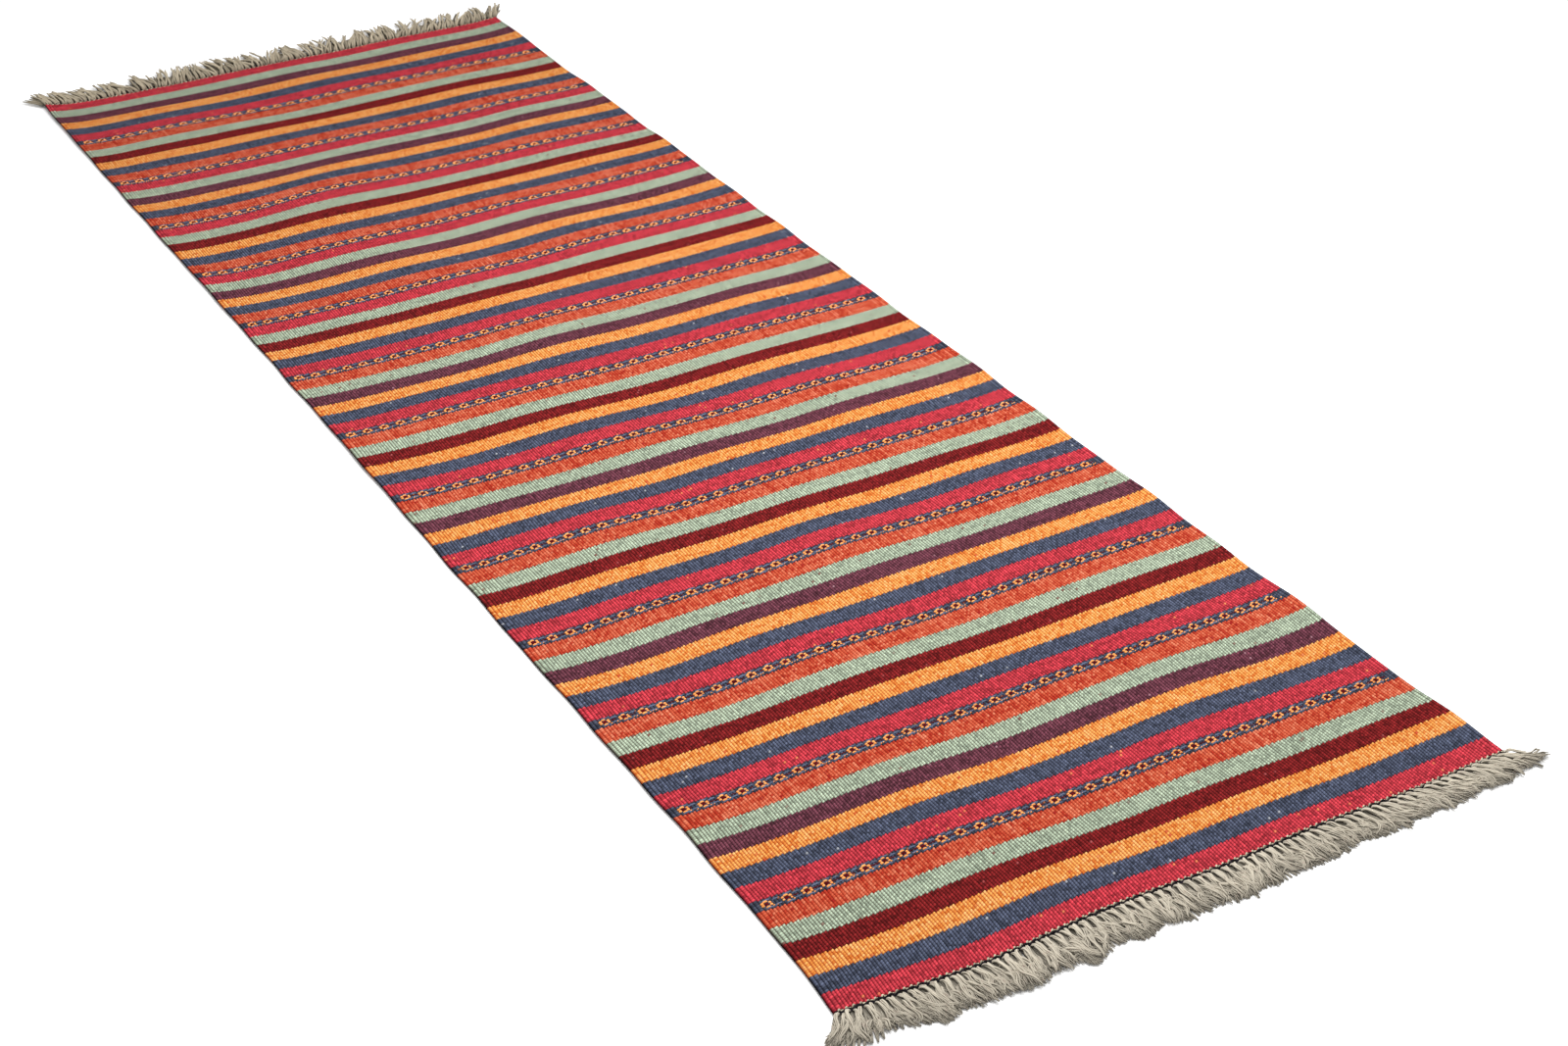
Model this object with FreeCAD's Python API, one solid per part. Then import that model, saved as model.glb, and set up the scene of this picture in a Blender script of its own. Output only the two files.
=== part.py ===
import FreeCAD, Part
import math
import os

# A flat-woven wool runner (kilim), lying flat. Millimetres, +Z up.
# Origin: centre of the rug's underside. X runs across the rug, along the wefts.
# Y runs along the rug, along the warps, from the near end (-Y) to the far end (+Y).

# Driving dimensions of the weave
RIB_COUNT = 210            # ribs of the ground weave, one warp in each
RIB_PITCH = 3.71
EDGE_CORD_COUNT = 2        # thick cords side by side in each selvage
EDGE_CORD_PITCH = 5.225
WEFT_PITCH = 1.65          # one passage of the weft, measured along the rug
THICKNESS = 3.6

# The order of the bands
REPEAT_COUNT = 14
PLAIN_BAND_WEFTS = 16
ROSETTE_BAND_WEFTS = 10
CORAL_FIRST = (10, 11, 12, 13)              # repeats that start with coral, not crimson
CORAL_LAST = (1, 2, 3, 4, 5, 6, 7, 8, 13)   # repeats that end with coral, not crimson

# Hidden warps and the room that the wefts leave for them
WARP_DIAMETER = 1.6
EDGE_CORD_DIAMETER = 1.7
WARP_ROOM = 1.8
EDGE_TURN = 1.0            # thickness of the wefts where they turn round the last cord

# Rosettes: a ring of raised orange stitches round a dark red stitch
RIBS_PER_ROSETTE = 6
ROSETTE_COUNT = RIB_COUNT // RIBS_PER_ROSETTE
FIRST_ROSETTE_RIB = 1      # ribs between the left selvage and the middle of the first ring
RING_OUTER_RADIUS = 5.0
RING_INNER_RADIUS = 1.9
RING_HEIGHT = 0.4
CENTRE_RADIUS = 1.7
CENTRE_HEIGHT = 0.3

# End finish: a cream and a black twining cord, then the warps in bunches
TWINING_WIDTH = 3.0
BUNCH_RIBS = 3
BUNCH_LENGTH = 52.0
BUNCH_ROOT_RADIUS = 2.0
BUNCH_TIP_RADIUS = 4.2
CORNER_LEAN = 35.0         # degrees, how far the outermost bunch leans outwards
LEAN_REACH = 70.0          # the lean dies out this far in from the corner

# Derived sizes
GROUND_WIDTH = RIB_COUNT * RIB_PITCH
SELVAGE_WIDTH = EDGE_CORD_COUNT * EDGE_CORD_PITCH
WEAVE_WIDTH = GROUND_WIDTH + 2 * SELVAGE_WIDTH
ROSETTE_PITCH = RIBS_PER_ROSETTE * RIB_PITCH
MID_HEIGHT = THICKNESS / 2

os.makedirs("parts", exist_ok=True)


def band_yarns():
    """The yarn of every band, from the near end to the far end."""
    yarns = []
    for repeat in range(1, REPEAT_COUNT + 1):
        first = "coral" if repeat in CORAL_FIRST else "crimson"
        last = "coral" if repeat in CORAL_LAST else "crimson"
        dark = "maroon" if repeat % 2 else "purple"
        yarns += [first, "navy", "orange", dark, "green", last, "rosette"]
    # The far end stops after the last plain band, with no rosette band
    return yarns[:-1]


def band_width(yarn):
    wefts = ROSETTE_BAND_WEFTS if yarn == "rosette" else PLAIN_BAND_WEFTS
    return wefts * WEFT_PITCH


def rib_x(rib):
    """Middle of a ground rib, counted from 0 at the left."""
    return -GROUND_WIDTH / 2 + (rib + 0.5) * RIB_PITCH


def sleeve(y_start, width):
    """A strip of weft across the whole rug, open inside where the warps run through."""
    strip = Part.makeBox(WEAVE_WIDTH, width, THICKNESS,
                         FreeCAD.Vector(-WEAVE_WIDTH / 2, y_start, 0))
    room_width = WEAVE_WIDTH - 2 * EDGE_TURN
    room = Part.makeBox(room_width, width, WARP_ROOM,
                        FreeCAD.Vector(-room_width / 2, y_start, MID_HEIGHT - WARP_ROOM / 2))
    return strip.cut(room)


def long_rod(x, diameter):
    """A warp or a selvage cord, running the whole woven length."""
    return Part.makeCylinder(diameter / 2, BODY_LENGTH,
                             FreeCAD.Vector(x, -BODY_LENGTH / 2, MID_HEIGHT),
                             FreeCAD.Vector(0, 1, 0))


def save(node, solids):
    shape = solids[0] if len(solids) == 1 else Part.makeCompound(solids)
    shape.exportStep("parts/" + node + ".step")
    return shape


YARNS = band_yarns()
BANDS_LENGTH = sum(band_width(yarn) for yarn in YARNS)
BODY_LENGTH = BANDS_LENGTH + 4 * TWINING_WIDTH


def weft_bands():
    """Every coloured band, and where each rosette band starts."""
    solids = {}
    rosette_starts = []
    y = -BANDS_LENGTH / 2
    for yarn in YARNS:
        width = band_width(yarn)
        solids.setdefault(yarn, []).append(sleeve(y, width))
        if yarn == "rosette":
            rosette_starts.append(y)
        y += width
    return solids, rosette_starts


def save_weft_bands(solids):
    """The bands that change place or carry the pattern are nodes of their own.

    The five yarns that come once in every repeat, or in every other one, are a group each.
    """
    for yarn in ("crimson", "coral", "rosette"):
        for number, band in enumerate(solids[yarn], start=1):
            save("%s_band_%02d" % (yarn, number), [band])
    for yarn in ("navy", "orange", "green", "maroon", "purple"):
        save(yarn + "_bands", solids[yarn])


def save_rosettes(rosette_starts):
    """Rings and centres lie on the top face of each rosette band."""
    rings = []
    centres = []
    up = FreeCAD.Vector(0, 0, 1)
    for y_start in rosette_starts:
        y = y_start + ROSETTE_BAND_WEFTS * WEFT_PITCH / 2
        for number in range(ROSETTE_COUNT):
            middle = FreeCAD.Vector(rib_x(FIRST_ROSETTE_RIB) + number * ROSETTE_PITCH, y, THICKNESS)
            disc = Part.makeCylinder(RING_OUTER_RADIUS, RING_HEIGHT, middle, up)
            hole = Part.makeCylinder(RING_INNER_RADIUS, RING_HEIGHT, middle, up)
            rings.append(disc.cut(hole))
            centres.append(Part.makeCylinder(CENTRE_RADIUS, CENTRE_HEIGHT, middle, up))
    save("rosette_rings", rings)
    save("rosette_centres", centres)


def save_warps():
    save("warp_threads", [long_rod(rib_x(rib), WARP_DIAMETER) for rib in range(RIB_COUNT)])
    for side, sign in (("left", -1), ("right", 1)):
        cords = []
        for number in range(EDGE_CORD_COUNT):
            offset = GROUND_WIDTH / 2 + (number + 0.5) * EDGE_CORD_PITCH
            cords.append(long_rod(sign * offset, EDGE_CORD_DIAMETER))
        save(side + "_selvage_cords", cords)


def bunch_centres():
    """X of every fringe bunch: one in each selvage, and one for each three warps."""
    edge = GROUND_WIDTH / 2 + SELVAGE_WIDTH / 2
    middle = [rib_x(rib + 1) for rib in range(0, RIB_COUNT, BUNCH_RIBS)]
    return [-edge] + middle + [edge]


def fringe_bunch(x, end):
    """A loose bunch of warp ends: a cone that widens towards its tip and lies on the floor."""
    inward = WEAVE_WIDTH / 2 - abs(x)
    fade = max(0.0, 1.0 - inward / LEAN_REACH)
    lean = math.radians(CORNER_LEAN * fade * fade)
    direction = FreeCAD.Vector(math.copysign(math.sin(lean), x), end * math.cos(lean), 0)
    # Far enough out that the leaning root clears the twining cord
    y = end * (BODY_LENGTH / 2 + BUNCH_ROOT_RADIUS * math.sin(lean))
    return Part.makeCone(BUNCH_ROOT_RADIUS, BUNCH_TIP_RADIUS, BUNCH_LENGTH,
                         FreeCAD.Vector(x, y, BUNCH_TIP_RADIUS), direction)


def save_ends():
    for name, end in (("near", -1), ("far", 1)):
        cream_start = BANDS_LENGTH / 2 if end > 0 else -BANDS_LENGTH / 2 - TWINING_WIDTH
        save(name + "_cream_twining", [sleeve(cream_start, TWINING_WIDTH)])
        save(name + "_black_twining", [sleeve(cream_start + end * TWINING_WIDTH, TWINING_WIDTH)])
        save(name + "_fringe_bunches", [fringe_bunch(x, end) for x in bunch_centres()])


band_solids, rosette_band_starts = weft_bands()
save_weft_bands(band_solids)
save_rosettes(rosette_band_starts)
save_warps()
save_ends()
print("bands", len(YARNS), "woven", WEAVE_WIDTH, "x", round(BODY_LENGTH, 2))
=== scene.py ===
import math

import bpy
import numpy as np
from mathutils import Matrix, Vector


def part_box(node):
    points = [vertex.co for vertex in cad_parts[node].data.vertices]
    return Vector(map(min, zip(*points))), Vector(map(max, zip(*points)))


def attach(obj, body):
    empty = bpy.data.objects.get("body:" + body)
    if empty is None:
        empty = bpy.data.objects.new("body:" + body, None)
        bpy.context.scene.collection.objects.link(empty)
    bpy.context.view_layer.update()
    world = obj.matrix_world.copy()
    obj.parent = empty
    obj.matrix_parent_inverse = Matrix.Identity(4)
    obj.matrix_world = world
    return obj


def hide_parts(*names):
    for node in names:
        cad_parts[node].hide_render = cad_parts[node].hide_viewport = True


# A flat-woven wool runner, as it lies on a plain floor. The builders below work in millimetres
# on the flat cloth: x across the rug, y along it, z up from the underside. lay() turns such
# points into metres on the cloth as it lies, so that every piece follows the same waves.

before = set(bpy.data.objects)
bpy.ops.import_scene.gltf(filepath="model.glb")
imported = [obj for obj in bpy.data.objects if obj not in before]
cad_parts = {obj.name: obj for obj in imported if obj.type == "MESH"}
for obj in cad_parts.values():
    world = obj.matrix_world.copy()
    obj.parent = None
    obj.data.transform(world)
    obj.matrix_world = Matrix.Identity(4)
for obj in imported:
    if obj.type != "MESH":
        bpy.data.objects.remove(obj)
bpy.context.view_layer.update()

MM = 0.001

# -------------------- sizes, from the frame or as in the CAD, in millimetres
band_low, band_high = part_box("crimson_band_01")
WIDTH = (band_high.x - band_low.x) / MM
THICKNESS = band_high.z / MM
WOVEN_START = band_low.y / MM
PLAIN_BAND = (band_high.y - band_low.y) / MM
TWINING_WIDTH = (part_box("near_cream_twining")[1].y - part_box("near_cream_twining")[0].y) / MM

PLAIN_BAND_WEFTS = 16
ROSETTE_BAND_WEFTS = 10
WEFT_PITCH = PLAIN_BAND / PLAIN_BAND_WEFTS
GROUND_RIBS = 210
EDGE_RIBS = 2                   # thick ribs in each selvage
RIB_PITCH = 3.71
EDGE_RIB = (WIDTH - GROUND_RIBS * RIB_PITCH) / (2 * EDGE_RIBS)
HALF_WIDTH = WIDTH / 2
HALF_WOVEN = -WOVEN_START       # half the length of all the bands
RIBS_PER_BUNCH = 3
BUNCH_PITCH = RIBS_PER_BUNCH * RIB_PITCH

REPEAT_COUNT = 14
CORAL_FIRST = (10, 11, 12, 13)              # repeats that start with coral, not crimson
CORAL_LAST = (1, 2, 3, 4, 5, 6, 7, 8, 13)   # repeats that end with coral, not crimson
RIBS_PER_ROSETTE = 6
ROSETTE_COUNT = GROUND_RIBS // RIBS_PER_ROSETTE
FIRST_ROSETTE_RIB = 1                       # the rib in the middle of the first ring


# -------------------- how the cloth lies
def ripple(seed, wavelength, waves=7):
    """A smooth random field of about unit size, made of a few crossing waves."""
    draw = np.random.default_rng(seed)
    heading = draw.uniform(0, 2 * math.pi, waves)
    rate = 2 * math.pi / (wavelength * draw.uniform(0.75, 1.6, waves))
    phase = draw.uniform(0, 2 * math.pi, waves)

    def field(x, y):
        total = 0.0
        for a, k, p in zip(heading, rate, phase):
            total = total + np.sin(k * (x * math.cos(a) + y * math.sin(a)) + p)
        return total / math.sqrt(waves / 2)
    return field


stripe_wave = ripple(11, 230)
edge_wave = ripple(12, 150)
floor_wave = ripple(13, 330)
edge_lift_wave = ripple(14, 190)

# Shifts in the plane of the floor, in millimetres
NEAR_FLARE = 9.0                # the left edge stands out at the near corner
LEFT_DRAW_IN = 4.5              # and draws in along the far half
RIGHT_DRAW_IN = 5.2             # the right edge draws in from end to end
SWING = 3.4                     # the stripes lean one way and then the other
NEAR_SWING = 6.5
STRIPE_WANDER = 1.3
FAR_LEFT_TURN = 4.5             # the stripes turn up at the left edge of the far part
FAR_CORNER_TURN = 9.0
NEAR_RIGHT_TURN = 7.0           # and down at the near right corner
# Heights above the floor, in millimetres
FLOOR_RIPPLE = 0.9
EDGE_LIFT = 0.9
CORNER_LIFT = 3.0
MAX_LIFT = 8.5
LEFT_REACH = 45.0               # how far in from the left edge its lift reaches


def fade(distance, reach):
    """1 at the start, dying out with the distance."""
    return np.exp(-distance / reach)


def lay(x, y, z):
    """Flat cloth in millimetres to the cloth as it lies, in metres."""
    x, y, z = np.broadcast_arrays(np.asarray(x, float), y, z)
    side = x / HALF_WIDTH
    along = np.clip((y + HALF_WOVEN) / (2 * HALF_WOVEN), 0, 1)
    from_left = (x + HALF_WIDTH).clip(0)
    from_right = (HALF_WIDTH - x).clip(0)
    at_left = fade(from_left, LEFT_REACH)
    far_part = np.clip(along * 5 - 1.7, 0, 1)
    far_corner = np.exp(-from_left / 40 - np.abs(y - HALF_WOVEN) / 60)

    left = -NEAR_FLARE * np.exp(-along * 22) + LEFT_DRAW_IN / (1 + np.exp(-(along - 0.42) * 16))
    right = 2.2 - RIGHT_DRAW_IN * along + 0.8 * edge_wave(900.0, y)
    left = left + 0.4 * edge_wave(-900.0, y)
    move_x = left * np.clip((1 - side) / 2, 0, 1) + right * np.clip((1 + side) / 2, 0, 1)
    move_x = move_x + 1.2 * far_part * at_left + 2.0 * far_corner

    swing = SWING * np.cos(2 * math.pi * (y - 358) / 1080)
    swing = swing - NEAR_SWING * np.exp(-((y + 1030) / 200) ** 2)
    move_y = swing * side + STRIPE_WANDER * stripe_wave(x, y) + 2.4 * np.exp(-along * 7) - 2.4
    move_y = move_y - NEAR_RIGHT_TURN * np.exp(-from_right / 60 - along * 20)
    move_y = move_y + 4 * fade(from_left, 35) + 3 * fade(from_right, 35)
    move_y = move_y + FAR_LEFT_TURN * far_part * at_left + FAR_CORNER_TURN * far_corner

    body_lift = FLOOR_RIPPLE * np.maximum(floor_wave(x, y), 0) ** 1.5
    # The left edge stands a little off the floor, most of all at the far corner
    left_lift = (EDGE_LIFT + EDGE_LIFT * far_part) * at_left
    right_lift = EDGE_LIFT * fade(from_right, 40) * (1 + 0.8 * edge_lift_wave(x, y)).clip(0)
    lift = (body_lift + left_lift + CORNER_LIFT * far_corner + right_lift).clip(0, MAX_LIFT)
    return np.stack([x + move_x, y + move_y, z + lift], -1) * MM


# -------------------- meshes
def make_object(name, points, quads, polygons, uv, point_values, face_values=()):
    """One mesh object. quads is (n, 4), shaded smooth; polygons is a list of flat faces of any length.

    uv has one row per corner of the quads and then of the polygons."""
    mesh = bpy.data.meshes.new(name)
    loops = [quads.ravel()] + [np.asarray(p) for p in polygons]
    totals = np.r_[np.full(len(quads), 4), [len(p) for p in polygons]].astype(np.int32)
    loops = np.concatenate(loops).astype(np.int32)
    mesh.vertices.add(len(points))
    mesh.vertices.foreach_set("co", points.astype(np.float32).ravel())
    mesh.loops.add(len(loops))
    mesh.loops.foreach_set("vertex_index", loops)
    mesh.polygons.add(len(totals))
    mesh.polygons.foreach_set("loop_start", np.r_[0, np.cumsum(totals)[:-1]].astype(np.int32))
    mesh.polygons.foreach_set("loop_total", totals)
    mesh.update(calc_edges=True)
    mesh.polygons.foreach_set("use_smooth", np.arange(len(totals)) < len(quads))
    layer = mesh.uv_layers.new(name="OFBake")
    layer.data.foreach_set("uv", uv.astype(np.float32).ravel())
    for domain, table in (("FACE", face_values), ("POINT", point_values)):
        for key, values in dict(table).items():
            attribute = mesh.attributes.new(key, "FLOAT", domain)
            attribute.data.foreach_set("value", values.astype(np.float32))
    mesh.update()
    piece = bpy.data.objects.new(name, mesh)
    bpy.context.scene.collection.objects.link(piece)
    return piece


# -------------------- materials
def srgb(red, green, blue):
    """A display colour, 0 to 255, as linear light."""
    channel = np.array([red, green, blue]) / 255
    curve = ((channel + 0.055) / 1.055) ** 2.4
    return tuple(np.where(channel < 0.04045, channel / 12.92, curve)) + (1.0,)


class Nodes:
    """A short way to write a material's node tree."""

    def __init__(self, name):
        self.material = bpy.data.materials.new(name)
        self.material.use_nodes = True
        self.tree = self.material.node_tree
        self.shader = self.tree.nodes["Principled BSDF"]

    def add(self, kind, inputs=None, **settings):
        node = self.tree.nodes.new("ShaderNode" + kind)
        for key, value in settings.items():
            setattr(node, key, value)
        for key, value in (inputs or {}).items():
            self.feed(node.inputs[key], value)
        return node

    def feed(self, socket, value):
        if isinstance(value, bpy.types.NodeSocket):
            self.tree.links.new(value, socket)
        else:
            socket.default_value = value

    def attribute(self, name):
        return self.add("Attribute", attribute_name=name).outputs["Fac"]

    def math(self, operation, first, second):
        node = self.add("Math", {0: first, 1: second}, operation=operation)
        return node.outputs[0]

    def mix(self, factor, first, second, blend="MIX"):
        node = self.add("Mix", {0: factor, 6: first, 7: second}, data_type="RGBA", blend_type=blend)
        return node.outputs[2]

    def ramp(self, factor, stops):
        node = self.add("ValToRGB", {"Fac": factor})
        elements = node.color_ramp.elements
        elements[0].position, elements[0].color = stops[0]
        elements[1].position, elements[1].color = stops[-1]
        for position, colour in stops[1:-1]:
            elements.new(position).color = colour
        return node.outputs["Color"]

    def noise(self, scale, stretch=(1, 1, 1), detail=2.0, roughness=0.5):
        where = self.add("TexCoord").outputs["Object"]
        where = self.add("Mapping", {"Vector": where, "Scale": stretch}).outputs["Vector"]
        node = self.add("TexNoise", {"Vector": where, "Scale": scale, "Detail": detail,
                                     "Roughness": roughness})
        return node.outputs["Fac"]

    def bump(self, height, distance, strength):
        node = self.add("Bump", {"Height": height, "Distance": distance, "Strength": strength})
        self.feed(self.shader.inputs["Normal"], node.outputs["Normal"])

    def surface(self, colour, roughness, specular):
        self.feed(self.shader.inputs["Base Color"], colour)
        self.shader.inputs["Roughness"].default_value = roughness
        self.shader.inputs["Specular IOR Level"].default_value = specular
        return self.material

    def wool(self, colour):
        return self.surface(colour, 0.95, 0.06)


def shade(colour, factor):
    """The colour made darker or lighter, in linear light."""
    return tuple(min(1.0, c * factor) for c in colour[:3]) + (1.0,)


# Painted shade: at this value a point is painted nearly black
DEEPEST = 2.0                   # the groove value of a point that no light reaches


def weft_material(name, base, dark, light, speck, painted_shade_tint):
    """Dyed hand-spun wool: each stitch has a tone of its own, and some are specks of another dye.

    The last argument is how much of each channel the painted shade leaves in the grooves between the
    ribs."""
    n = Nodes(name)
    tone = n.attribute("tone")
    fibre = n.noise(900, stretch=(0.35, 1, 1), detail=3)
    tone = n.math("ADD", tone, n.math("MULTIPLY", n.math("SUBTRACT", fibre, 0.5), 0.25))
    colour = n.ramp(tone, [(0.0, shade(dark, 0.8)), (0.28, dark), (0.5, base), (0.8, light),
                           (1.0, shade(light, 1.12))])
    colour = n.mix(n.attribute("speck"), colour, speck)
    # Painted shade: the colour is multiplied down by the painted-shade attribute, to the given tint
    # halfway and to near black at the deepest
    depth = n.math("MULTIPLY", n.attribute("groove"), 1 / DEEPEST)
    shadow = n.ramp(depth, [(0.0, (1, 1, 1, 1)), (0.5, painted_shade_tint + (1.0,)),
                            (1.0, (0.03, 0.025, 0.02, 1))])
    colour = n.mix(1.0, colour, shadow, "MULTIPLY")
    n.bump(n.noise(1500, stretch=(0.4, 1, 1), detail=4, roughness=0.65), 0.0004, 0.6)
    return n.wool(colour)


def strand_material(name, base, dark, light, tint, streaks=0.9):
    """Undyed or plainly dyed yarn: streaks along the strand, and painted shade, darker where its
    painted-shade attribute is high.
    """
    n = Nodes(name)
    uv = n.add("UVMap", uv_map="OFBake").outputs["UV"]
    stretched = n.add("Mapping", {"Vector": uv, "Scale": (60, 900, 1)})
    streak = n.add("TexNoise", {"Vector": stretched.outputs["Vector"], "Scale": 1.0, "Detail": 3.0,
                                "Roughness": 0.6}).outputs["Fac"]
    streak = n.math("MULTIPLY", n.math("SUBTRACT", streak, 0.5), streaks)
    tone = n.math("ADD", n.attribute("tone"), streak)
    colour = n.ramp(tone, [(0.0, shade(dark, 0.7)), (0.3, dark), (0.55, base), (0.85, light)])
    rare = n.ramp(n.noise(260, detail=1.0), [(0.62, (0, 0, 0, 1)), (0.72, (1, 1, 1, 1))])
    colour = n.mix(n.math("MULTIPLY", rare, 0.35), colour, tint)
    # Painted shade: the yarn is darkened where strands lie under or inside others, down to near black
    painted_shade_tint = n.math("SUBTRACT", 1.0, n.math("MULTIPLY", n.attribute("groove"), 0.7))
    painted_shade_tint = n.math("MAXIMUM", painted_shade_tint, 0.03)
    painted_shade_tint_colour = n.add("CombineColor", {0: painted_shade_tint, 1: painted_shade_tint, 2: painted_shade_tint}).outputs[0]
    colour = n.mix(1.0, colour, painted_shade_tint_colour, "MULTIPLY")
    n.bump(n.noise(2200, detail=4, roughness=0.7), 0.0003, 0.5)
    return n.wool(colour)


def tones(red, green, blue, spread):
    """base, dark and light of one dye."""
    base = srgb(red, green, blue)
    return base, shade(base, 1 - spread), shade(base, 1 + spread)


# Dyes: base, dark and light, the colour of the specks, and the tint of the painted shade in the grooves
WEFTS = {
    "crimson": weft_material("crimson_yarn", *tones(195, 62, 72, 0.36), srgb(230, 136, 90),
                             (0.2, 0.08, 0.14)),
    "coral": weft_material("coral_yarn", srgb(197, 93, 64), srgb(171, 54, 36), srgb(216, 135, 103),
                           srgb(150, 30, 30), (0.34, 0.1, 0.08)),
    "navy": weft_material("navy_yarn", *tones(80, 87, 106, 0.44), srgb(170, 174, 180),
                          (0.09, 0.08, 0.1)),
    "orange": weft_material("orange_yarn", srgb(223, 161, 82), srgb(204, 118, 48),
                            srgb(230, 184, 115), srgb(190, 80, 50), (0.4, 0.13, 0.11)),
    "green": weft_material("green_yarn", *tones(171, 187, 163, 0.3), srgb(128, 84, 76),
                           (0.14, 0.1, 0.1)),
    "maroon": weft_material("maroon_yarn", *tones(126, 33, 34, 0.45), srgb(166, 80, 80),
                            (0.14, 0.07, 0.08)),
    "purple": weft_material("purple_yarn", *tones(108, 60, 72, 0.42), srgb(160, 116, 126),
                            (0.13, 0.08, 0.11)),
    "rosette": weft_material("navy_ground_yarn", *tones(68, 73, 87, 0.4), srgb(150, 90, 60),
                             (0.12, 0.1, 0.13)),
}
RING = strand_material("ring_yarn", *tones(230, 148, 80, 0.3), srgb(240, 196, 130), streaks=0.4)
CENTRE = strand_material("centre_yarn", *tones(86, 10, 16, 0.3), srgb(130, 40, 40), streaks=0.4)
FLOAT = strand_material("navy_float_yarn", *tones(86, 94, 116, 0.3), srgb(120, 130, 150),
                        streaks=0.5)
WARP = strand_material("undyed_wool", *tones(196, 188, 168, 0.25), srgb(190, 160, 150))
FRINGE = strand_material("fringe_wool", *tones(185, 177, 161, 0.28), srgb(184, 156, 146),
                         streaks=0.5)
FAR_FRINGE = strand_material("far_fringe_wool", *tones(174, 163, 142, 0.3), srgb(160, 128, 112),
                             streaks=0.5)
CREAM = strand_material("cream_twine", *tones(190, 182, 158, 0.22), srgb(200, 190, 160), streaks=0.5)
BLACK = strand_material("black_twine", *tones(30, 27, 32, 0.4), srgb(60, 50, 60), streaks=0.5)


# -------------------- the weave
RIB_COUNT = GROUND_RIBS + 2 * EDGE_RIBS
RIB_WIDTHS = np.r_[[EDGE_RIB] * EDGE_RIBS, [RIB_PITCH] * GROUND_RIBS, [EDGE_RIB] * EDGE_RIBS]
RIB_EDGES = np.r_[0, np.cumsum(RIB_WIDTHS)] - HALF_WIDTH
RIBS = np.arange(RIB_COUNT)
COLUMNS = 3                     # faces across one rib on the upper side
GROOVE = 1.1                    # how deep the groove between two ribs is
STITCH_DIP = 0.4                # how far a stitch bends down at each end
STITCH_SLANT = 0.5              # each stitch rises to the right by twice this
TOOTH_CUT = 0.3                 # how much shorter a stitch is that reaches into the next band
SHOULDER = 0.33                 # where a rib's crown starts, as a share of its width
TURN_SHARE = 0.17               # where the selvage's upper corner is, as a share of an edge rib
LOW_TURN_SHARE = 0.22           # and its lower corner
RIB_WANDER = 0.12               # how far a rib strays sideways at most

# Painted shade: how deep in a groove a point is, which the weft materials paint as darker colour
SHADE_STITCH_END = 0.5
SHADE_BETWEEN_RIBS = 1.0
SHADE_TURN = 0.9
SHADE_UNDERSIDE = 0.5
SHADE_LOW_TURN = 1.5


def weave_bands():
    """Name, yarn, CAD node, first weft and wefts of each band, from the near end."""
    order = []
    for repeat in range(1, REPEAT_COUNT + 1):
        order += ["coral" if repeat in CORAL_FIRST else "crimson", "navy", "orange",
                  "maroon" if repeat % 2 else "purple", "green",
                  "coral" if repeat in CORAL_LAST else "crimson", "rosette"]
    bands = []
    seen = {}
    start = 0
    for yarn in order[:-1]:
        seen[yarn] = seen.get(yarn, 0) + 1
        name = "%s_band_%02d" % (yarn, seen[yarn])
        node = name if yarn in ("crimson", "coral", "rosette") else yarn + "_bands"
        wefts = ROSETTE_BAND_WEFTS if yarn == "rosette" else PLAIN_BAND_WEFTS
        bands.append((name, yarn, node, start, wefts))
        start += wefts
    return bands


BANDS = weave_bands()
WEFT_COUNT = BANDS[-1][3] + BANDS[-1][4]
LINES = WEFT_COUNT + 2
LINE_Y = WOVEN_START + (np.arange(LINES) - 0.5) * WEFT_PITCH


def owner(row, rib):
    """The weft whose stitch covers this half-stitch row on this rib: odd and even ribs alternate."""
    return row - ((row - rib) & 1)


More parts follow.
